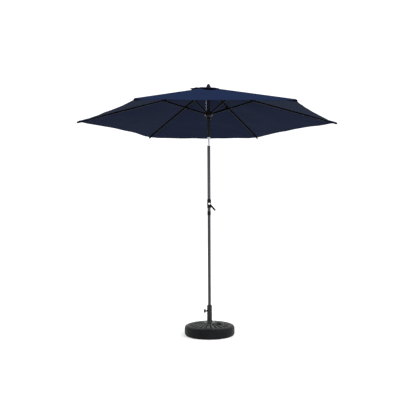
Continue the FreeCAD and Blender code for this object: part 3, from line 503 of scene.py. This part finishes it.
def base_tank():
    """The tank's outer skin: petals on its sloping top, a filler boss and soft edges, with a painted highlight in
    a lighter copy of its plastic on the petal crests and round the collar.
    """
    spots = []
    for (r0, z0), (r1, z1) in zip(TANK_PROFILE, TANK_PROFILE[1:]):
        steps = 58 if r1 - r0 > 0.1 else 3
        spots += [(r0 + (r1 - r0) * k / steps, z0 + (z1 - z0) * k / steps) for k in range(steps)]
    spots.append(TANK_PROFILE[-1])
    sides = PETALS * 18
    points = []
    pale = []
    for radius, height in spots:
        for k in range(sides):
            angle = 2 * math.pi * k / sides
            rise, petal = 0, 0
            if height > MOULDED_FOOT and MOULDED_REACH[0] < radius < MOULDED_REACH[1]:
                rise, petal = top_moulding(radius, angle, height)
            points.append((radius * math.cos(angle), radius * math.sin(angle), height + rise))
            by_collar = radius < COLLAR_REACH and height > MOULDED_FOOT
            # petal crests and the ring by the collar take the lighter copy of the plastic, a painted highlight
            pale.append(int(petal > PETAL_HEIGHT / 3 or by_collar))
    faces = ring_faces(len(spots), sides, flip=True)
    points.append((0, 0, 0))
    foot = (len(spots) - 1) * sides
    faces += [(foot + k, len(points) - 1, foot + (k + 1) % sides) for k in range(sides)]
    made = add_piece("tank_skin", points, faces, ["moulded_tank", "tank_painted_highlight"])
    made.data.polygons.foreach_set("material_index", pale)
    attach(made, "base")
    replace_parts(made, "base_tank")


# ---------------------------------------------------------------- crank


def crank_lever():
    """Forged lever from the axle to the grip's pin, waisted between its two eyes."""
    hub = Vector(joints["crank_turn"]["pos_m"])
    pin = Vector(joints["grip_spin"]["pos_m"])
    run = Vector((pin.x - hub.x, 0, pin.z - hub.z))
    along = run.normalized()
    across = Vector((along.z, 0, -along.x))
    hub_radius, pin_radius, waist = 0.0110, 0.0095, 0.0086
    back, front, edge = -0.0425, -0.0490, 0.0010
    around = 20
    along_sides = 12
    outline = []
    for k in range(around + 1):
        angle = math.pi * (0.5 + k / around)
        outline.append((hub_radius * math.cos(angle), hub_radius * math.sin(angle)))
    for k in range(1, along_sides):
        share = k / along_sides
        eye = pin_radius if share > 0.5 else hub_radius
        half = waist + (eye - waist) * abs(2 * share - 1) ** 3
        outline.append((run.length * share, -half))
    for k in range(around + 1):
        angle = math.pi * (-0.5 + k / around)
        outline.append((run.length + pin_radius * math.cos(angle), pin_radius * math.sin(angle)))
    outline += [(x, -y) for x, y in outline[around + along_sides - 1 : around : -1]]
    points = []
    for depth, inset in ((back, edge), (back - edge, 0), (front + edge, 0), (front, edge)):
        for x, y in outline:
            nearest = min(max(x, 0), run.length)
            out = Vector((x - nearest, y))
            out *= 1 - inset / out.length
            points.append(hub + along * (nearest + out.x) + across * out.y + Vector((0, depth - hub.y, 0)))
    count = len(outline)
    faces = end_faces(4, count) + ring_faces(4, count)
    made = add_piece("crank_lever", points, faces, ["black_steel"], smooth=False)
    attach(made, "crank")
    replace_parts(made, "crank_arm")


crank_lever()


# ---------------------------------------------------------------- lift cord

DRUM_ROUTE = [
    (-0.01025, 0, 1.308),
    (-0.01025, 0, 1.428),
    (-0.0052, 0, 1.590),
    (0, 0, 1.745),
    (0, 0, 1.9263),
]
PULLEY_ROUTE = [
    (0, 0, 1.9277),
    (0, 0, 2.100),
    (0, 0, 2.300),
    (0, 0, 2.412),
    (0, 0, 2.4395),
    (-0.0030, 0, 2.4500),
    (-0.0120, 0, 2.4520),
    (-0.0210, 0, 2.4500),
    (-0.0240, 0, 2.4395),
    (-0.0240, 0, 2.4325),
]
RUNNER_ROUTE = [
    (-0.0240, 0, 2.4325),
    (-0.0243, 0.0004, 2.4100),
    (-0.0262, -0.0008, 2.3850),
    (-0.0218, 0.0010, 2.3600),
    (-0.0268, -0.0004, 2.3340),
    (-0.0224, -0.0012, 2.3080),
    (-0.0258, 0.0010, 2.2840),
    (-0.0232, 0.0002, 2.2580),
    (-0.0241, 0, 2.2380),
    (-0.0240, 0, 2.2140),
]


def smooth_line(name, route, steps=24):
    """The points of a smooth spline that has the route as its control points."""
    curve = bpy.data.curves.new(name + "_line", "CURVE")
    curve.dimensions = "3D"
    spline = curve.splines.new("NURBS")
    spline.points.add(len(route) - 1)
    for point, place in zip(spline.points, route):
        point.co = (*place, 1)
    spline.order_u = 3
    spline.use_endpoint_u = True
    spline.resolution_u = steps
    holder = bpy.data.objects.new(name + "_line", curve)
    mesh = bpy.data.meshes.new_from_object(holder)
    line = [vertex.co.copy() for vertex in mesh.vertices]
    bpy.data.objects.remove(holder)
    bpy.data.curves.remove(curve)
    bpy.data.meshes.remove(mesh)
    return line


def braided(run, angle):
    """Radius of the cord where its strands cross and part."""
    pitch = 2 * math.pi * run / 0.007
    return CORD_RADIUS * (0.97 + 0.05 * math.sin(4 * angle + pitch) * math.sin(4 * angle - pitch))


def add_cord(name, route, node=None):
    """One stretch of the lift cord, a braided tube along its route."""
    line = smooth_line(name, route)
    made = tube_mesh(name, line, braided, 16, "grey_cord")
    if node:
        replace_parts(made, node)
    return made


def lift_cord():
    """The cord from the drum to the tilt pivot, over the pulley, and down to the runner."""
    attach(add_cord("lift_cord_to_drum", DRUM_ROUTE, "lift_cord_lower"), "mast")
    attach(add_cord("lift_cord_over_pulley", PULLEY_ROUTE, "lift_cord"), "head")
    last = add_cord("lift_cord_to_runner", RUNNER_ROUTE)
    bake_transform(last)


lift_cord()


# ---------------------------------------------------------------- canopy


def arm_axes(arm, side):
    """A rib's own directions at rest: along it, level towards one side, and up off it."""
    angle = 2 * math.pi * arm / ARMS
    radial = Vector((math.cos(angle), math.sin(angle), 0))
    level = Vector((-math.sin(angle), math.cos(angle), 0)) * side
    along = radial * math.cos(SLOPE) - Vector((0, 0, math.sin(SLOPE)))
    off = radial * math.sin(SLOPE) + Vector((0, 0, math.cos(SLOPE)))
    return along, level, off


def arm_point(arm, distance, lift=0.0):
    """A point a distance along a rib from its pivot, and lifted off it."""
    along, _, off = arm_axes(arm, 1)
    angle = 2 * math.pi * arm / ARMS
    pivot = Vector((PIVOT.x * math.cos(angle), PIVOT.x * math.sin(angle), PIVOT.z))
    return pivot + along * distance + off * lift


def roof_height(radius):
    """Height of the cloth's underside over a rib, at a distance from the pole's axis."""
    return PIVOT.z - (radius - PIVOT.x) * math.tan(SLOPE) + CANOPY_LIFT / math.cos(SLOPE)


def half_gore_grid(inner, outer, rows, columns):
    """Row radii and column shares of half a gore, closer together along the hem and the rib's seam."""
    hem_rows = outer - np.array([HEM_WIDTH + 0.002, HEM_WIDTH, 0.012, 0.006, 0.0015, 0])
    radii = np.concatenate([np.linspace(inner, outer - 0.045, rows), hem_rows])
    seam = np.array([0, SEAM_WIDTH - 0.003, SEAM_WIDTH - 0.0005, SEAM_WIDTH + 0.002])
    shares = []
    for radius in radii:
        chord = radius / 2
        rest = np.linspace(SEAM_WIDTH + 0.002, chord, columns)[1:]
        beyond = [2 * chord - rest[-2]]
        shares.append(np.concatenate([seam, rest, beyond]) / chord)
    return radii, np.array(shares)


def canopy_drop(radius, share, hem_share, sag):
    """How far the main cloth hangs below the flat roof: slack between the ribs, and close beside each."""
    vent_slack, vent_reach, field_slack, rib_relief = 0.015, 0.16, 0.013, 0.009
    across = 2 * share - share**2
    slack = vent_slack * np.exp(-(radius - CANOPY_INNER) / vent_reach)
    slack += field_slack * np.sin(math.pi * np.clip(hem_share, 0, 1)) + sag * hem_share**6
    level = np.minimum(share, 2 - share) * radius / 2
    beside = rib_relief * hem_share**2 * smooth_step(level, 0.005, 0.030)
    return across * slack + beside


def tip_folds(radius, share, outer):
    """Shallow pulls in the cloth that fan out from a rib's tip and along the seam."""
    fan_depth, pull_depth, pull_pitch = 0.0042, 0.0007, 0.041
    near = np.minimum(share, 2 - share)
    level = near * radius / 2
    inward = outer - radius
    distance = np.hypot(level, inward)
    bearing = np.arctan2(level, inward + 0.02)
    fan = np.sin(bearing * 13) * np.exp(-distance / 0.22) * smooth_step(distance, 0.01, 0.09)
    pulls = np.sin(2 * math.pi * radius / pull_pitch + 1.7 * np.sin(radius * 31)) * np.exp(-level / 0.022)
    window = smooth_step(near, 0.0, 0.06) * (1 - near) ** 2
    return window * (fan_depth * fan) + pull_depth * pulls * smooth_step(level, 0.004, 0.012)


def place_sheet(arm, side, radius, share, height):
    """World points of a half gore from its radii, shares across and heights."""
    angle = 2 * math.pi * arm / ARMS
    x = radius * (1 - share / 4)
    y = side * radius * share * math.sqrt(3) / 4
    return np.stack(
        [x * math.cos(angle) - y * math.sin(angle), x * math.sin(angle) + y * math.cos(angle), height], -1
    )


def grid_normals(points, side):
    """Unit normals of a grid of points, upwards."""
    down = np.gradient(points, axis=0)
    across = np.gradient(points, axis=1)
    normals = np.cross(down, across) * side
    return normals / np.linalg.norm(normals, axis=-1, keepdims=True)


def sheet_piece(name, top, bottom, top_normals, bottom_normals, uv_cloth, uv_edges, side):
    """A thin closed sheet between two grids, with soft shading that runs on into its neighbour."""
    rows, columns = top.shape[:2]
    count = rows * columns
    index = np.arange(count).reshape(rows, columns)
    quads = np.stack([index[:-1, :-1], index[1:, :-1], index[1:, 1:], index[:-1, 1:]], -1).reshape(-1, 4)
    if side < 0:
        quads = quads[:, ::-1]
    under = quads[:, ::-1] + count
    border = [*index[0, :], *index[1:, -1], *index[-1, -2::-1], *index[-2:0:-1, 0]]
    walls = []
    for here, after in zip(border, border[1:] + border[:1]):
        wall = (here, after, after + count, here + count)
        walls.append(wall if side > 0 else wall[::-1])
    faces = [tuple(int(k) for k in quad) for quad in (*quads, *under, *walls)]
    points = np.concatenate([top.reshape(-1, 3), bottom.reshape(-1, 3)])
    made = add_piece(name, points, faces, ["navy", "navy_painted_shade"])
    mesh = made.data
    face_count = len(quads)
    # the underside and the edge walls take the darker copy of the navy, which is painted shade
    mesh.polygons.foreach_set("material_index", [0] * face_count + [1] * (face_count + len(walls)))
    mesh.polygons.foreach_set("use_smooth", [True] * (2 * face_count) + [False] * len(walls))
    corner = np.zeros(len(mesh.loops), int)
    mesh.loops.foreach_get("vertex_index", corner)
    for layer, values in (("Cloth", uv_cloth), ("Edges", uv_edges)):
        both = np.concatenate([values.reshape(-1, 2)] * 2)
        mesh.uv_layers.new(name=layer).data.foreach_set("uv", both[corner].astype(np.float32).ravel())
    normals = np.concatenate([top_normals.reshape(-1, 3), -bottom_normals.reshape(-1, 3)])
    wanted = normals[corner]
    wanted[8 * face_count :] = 0
    mesh.normals_split_custom_set([tuple(normal) for normal in wanted])
    return made


def sheet_area(points):
    """Area of a grid of points."""
    one = points[1:, 1:] - points[:-1, :-1]
    other = points[1:, :-1] - points[:-1, 1:]
    return float(np.linalg.norm(np.cross(one, other), axis=-1).sum() / 2)


def fold_rule(arm, side, radius, lift, bulge):
    """Works out the squash that would lay half a gore against its rib, ready to meet the next half when the canopy
    is shut.
    """
    _, level, off = arm_axes(arm, side)
    middle = Vector((radius * math.sqrt(3) / 4, -radius * math.sin(SLOPE) / 4))
    reach = (0.75 * radius - PIVOT.x) * math.cos(SLOPE)
    reach += (radius - PIVOT.x) * math.tan(SLOPE) * math.sin(SLOPE)
    shut_radius = PIVOT.x + reach * math.cos(CLOSED_SLOPE) + (lift + bulge) * math.sin(CLOSED_SLOPE)
    shut = Vector((shut_radius * math.tan(math.pi / ARMS), bulge))
    way = (middle - shut).normalized()
    return {
        "axis": level * way.x + off * way.y,
        "anchor": arm_point(arm, 0, lift),
        "keep": shut.dot(way) / middle.dot(way),
    }


def canopy_noise(points, scale, amount):
    """Gentle unevenness that runs on from one half gore to the next."""
    flat = points.reshape(-1, 3)
    found = [noise.noise(Vector(point) * scale) for point in flat]
    return amount * np.array(found).reshape(points.shape[:2])


def half_gore_cloth(kind, arm, side, middle, line, shares, weave, edges):
    """Half a gore on its rib, thicker along its folded hem and its seam, and the area of its cloth."""
    outer, hem_width, seam_rise, hem_drop, stitches_in = edges
    from_hem = outer - line
    from_seam = np.minimum(shares, 2 - shares) * line / 2
    hem = 1 - smooth_step(from_hem, hem_width, hem_width + 0.002)
    seam = 1 - smooth_step(from_seam, SEAM_WIDTH - 0.0005, SEAM_WIDTH + 0.002)
    top = middle.copy()
    top[..., 2] += CLOTH + 0.0007 * hem + seam_rise * seam
    bottom = middle.copy()
    bottom[..., 2] -= hem_drop * hem
    uv_edges = np.stack([from_hem + stitches_in, from_seam], -1)
    kept = np.s_[:, :-1]
    grids = (top, bottom, grid_normals(top, side), grid_normals(bottom, side), weave, uv_edges)
    name = f"{kind}_half_gore_{arm + 1}_{'left' if side > 0 else 'right'}"
    made = sheet_piece(name, *(grid[kept] for grid in grids), side)
    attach(made, f"rib_{arm + 1}")
    return made, sheet_area(middle[kept])


def half_gore(arm, side):
    """The main cloth from a rib to the middle of one gore beside it."""
    radii, shares = half_gore_grid(CANOPY_INNER, CANOPY_OUTER, rows=84, columns=34)
    line = radii[:, None] * np.ones_like(shares)
    hem_share = (line - CANOPY_INNER) / (CANOPY_OUTER - CANOPY_INNER)
    hem_depth, hem_sag = GORE_HEMS[arm if side > 0 else arm - 1]
    radius = line - hem_depth * (2 * shares - shares**2) * hem_share**2
    height = roof_height(radius) - canopy_drop(radius, shares, hem_share, hem_sag)
    height += tip_folds(radius, shares, CANOPY_OUTER)
    middle = place_sheet(arm, side, radius, shares, height)
    slack = smooth_step(np.minimum(shares, 2 - shares), 0, 0.3)
    middle[..., 2] += canopy_noise(middle, scale=5.5, amount=0.0045) * slack
    weave = np.stack([line / math.cos(SLOPE), side * shares * line / 2], -1) + 0.37 * arm
    edges = (CANOPY_OUTER, HEM_WIDTH, 0.0012, 0.0006, 0.0)
    made, area = half_gore_cloth("canopy", arm, side, middle, line, shares, weave, edges)
    fold_rule(arm, side, CANOPY_OUTER, CANOPY_LIFT, CANOPY_BULGE)
    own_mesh(made)
    return made


def cap_half_gore(arm, side):
    """The small vent canopy from a rib to the middle of one gore, above the opening."""
    arm_lift = CAP_ARM_LIFTS[arm]
    gore_lift = CAP_GORE_LIFTS[arm if side > 0 else arm - 1]
    radii, shares = half_gore_grid(CAP_INNER, CAP_OUTER, rows=26, columns=14)
    line = radii[:, None] * np.ones_like(shares)
    outward = (line - CAP_INNER) / (CAP_OUTER - CAP_INNER)
    across = 2 * shares - shares**2
    radius = line - 0.010 * across * outward**2
    height = CAP_CENTRE_Z + (CAP_CORNER_Z - CAP_CENTRE_Z) * outward**1.6
    lift = arm_lift + (gore_lift - arm_lift) * smooth_step(shares, 0, 1)
    height += lift * outward ** np.where(lift > 0, 3, 1.2)
    height -= across * CAP_SAG * outward**1.5
    middle = place_sheet(arm, side, radius, shares, height)
    slack = smooth_step(np.minimum(shares, 2 - shares), 0, 0.3) * outward
    middle[..., 2] += canopy_noise(middle, scale=24, amount=0.0030) * slack
    weave = np.stack([line, side * shares * line / 2], -1) + 0.21 * arm
    edges = (CAP_OUTER, CAP_HEM_WIDTH, 0.0010, 0.0016, 0.005)
    made, area = half_gore_cloth("vent", arm, side, middle, line, shares, weave, edges)
    fold_rule(arm, side, CAP_OUTER, CAP_RIB_LIFT, CAP_BULGE)
    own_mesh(made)
    return made


def rib_pocket(arm):
    """Sewn pocket that the rib's end sits in, closed over its tip."""
    sections = [
        (RIB_LENGTH - 0.118, 0.0072, 0.0100),
        (RIB_LENGTH - 0.116, 0.0080, 0.0106),
        (RIB_LENGTH - 0.108, 0.0082, 0.0108),
        (RIB_LENGTH - 0.100, 0.0074, 0.0102),
        (RIB_LENGTH - 0.060, 0.0072, 0.0100),
        (RIB_LENGTH - 0.020, 0.0071, 0.0099),
        (RIB_LENGTH - 0.006, 0.0070, 0.0094),
        (RIB_LENGTH + 0.0015, 0.0056, 0.0078),
        (RIB_LENGTH + 0.0045, 0.0026, 0.0036),
    ]
    _, level, off = arm_axes(arm, 1)
    sides, squareness = 28, 0.42
    points = []
    for distance, half_wide, half_tall in sections:
        centre = arm_point(arm, distance)
        for k in range(sides):
            angle = 2 * math.pi * k / sides
            across = math.copysign(abs(math.cos(angle)) ** squareness, math.cos(angle))
            up = math.copysign(abs(math.sin(angle)) ** squareness, math.sin(angle))
            crease = 1 + 0.03 * math.sin(5 * angle + 60 * distance)
            points.append(centre + level * (across * half_wide * crease) + off * (up * half_tall))
    faces = ring_faces(len(sections), sides) + end_faces(len(sections), sides)
    made = add_piece(f"rib_pocket_{arm + 1}", points, [face[::-1] for face in faces], ["pocket"])
    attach(made, f"rib_{arm + 1}")


def crown_patch():
    """Round patch of folded cloth under the finial, which covers the middle of both canopies."""
    sections = [
        (0.0292, 2.4625),
        (0.0340, 2.4628),
        (0.0400, 2.4626),
        (0.0470, 2.4616),
        (0.0520, 2.4592),
        (0.0535, 2.4570),
    ]
    sides = 144
    top = []
    for radius, height in sections:
        for k in range(sides):
            angle = 2 * math.pi * k / sides
            ripple = math.sin(24 * angle + 0.6 * math.sin(3 * angle))
            pleat = 0.0007 * ripple * smooth_step(radius, 0.030, 0.045)
            reach = radius * (1 + 0.02 * math.sin(5 * angle) * smooth_step(radius, 0.04, 0.053))
            top.append(Vector((reach * math.cos(angle), reach * math.sin(angle), height + pleat)))
    points = top + [point - Vector((0, 0, CLOTH)) for point in top]
    rings = len(sections)
    faces = []
    for face in ring_faces(rings, sides, flip=True):
        faces += [face, tuple(corner + len(top) for corner in face[::-1])]
    for ring, flip in ((0, 1), (rings - 1, -1)):
        for k in range(sides):
            here = ring * sides + k
            beside = ring * sides + (k + 1) % sides
            faces.append((here, beside, beside + len(top), here + len(top))[::flip])
    made = add_piece("crown_patch", points, faces, ["crown"])
    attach(made, "head")


def canopy():
    """All the cloth, which stands for the plain plates on the ribs and under the finial."""
    crown_patch()
    for arm in range(ARMS):
        for side in (-1, 1):
            half = half_gore(arm, side)
            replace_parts(half, f"canopy_panel_{arm + 1}")
            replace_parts(cap_half_gore(arm, side), "vent_canopy")
        rib_pocket(arm)


base_tank()
canopy()


# ---------------------------------------------------------------- studio


def studio():
    """Wide pale floor, a white sky and soft lights, the strongest from the right."""
    radii = (1.0, 4.0, 14.0)
    sides = 96
    points = [(0, 0, 0)]
    for radius in radii:
        for k in range(sides):
            angle = 2 * math.pi * k / sides
            points.append((radius * math.cos(angle), radius * math.sin(angle), 0))
    faces = [(0, 1 + k, 1 + (k + 1) % sides) for k in range(sides)]
    faces += ring_faces(len(radii), sides, first=1, flip=True)
    FINISHES["floor"] = paper_white("studio_floor")
    add_piece("studio_floor", points, faces, ["floor"])
    world = bpy.data.worlds.new("studio_sky")
    world.use_nodes = True
    sky = world.node_tree.nodes["Background"]
    sky.inputs["Color"].default_value = (1, 1, 1, 1)
    sky.inputs["Strength"].default_value = 1.25
    bpy.context.scene.world = world
    bpy.context.scene.view_settings.view_transform = "Standard"
    add_light("key_light", (4.8, -3.4, 4.0), 3.0, 240)
    add_light("fill_light", (-4.8, -3.2, 3.2), 3.5, 30)
    add_light("back_light", (1.5, 5.5, 5.0), 3.0, 60)


def add_light(name, place, width, power):
    """A square soft light that faces the pole's middle."""
    data = bpy.data.lights.new(name, "AREA")
    data.size = width
    data.energy = power
    light = bpy.data.objects.new(name, data)
    light.location = place
    middle = Vector((0, 0, 1.2))
    light.rotation_euler = (middle - Vector(place)).to_track_quat("-Z", "Y").to_euler()
    bpy.context.scene.collection.objects.link(light)


studio()
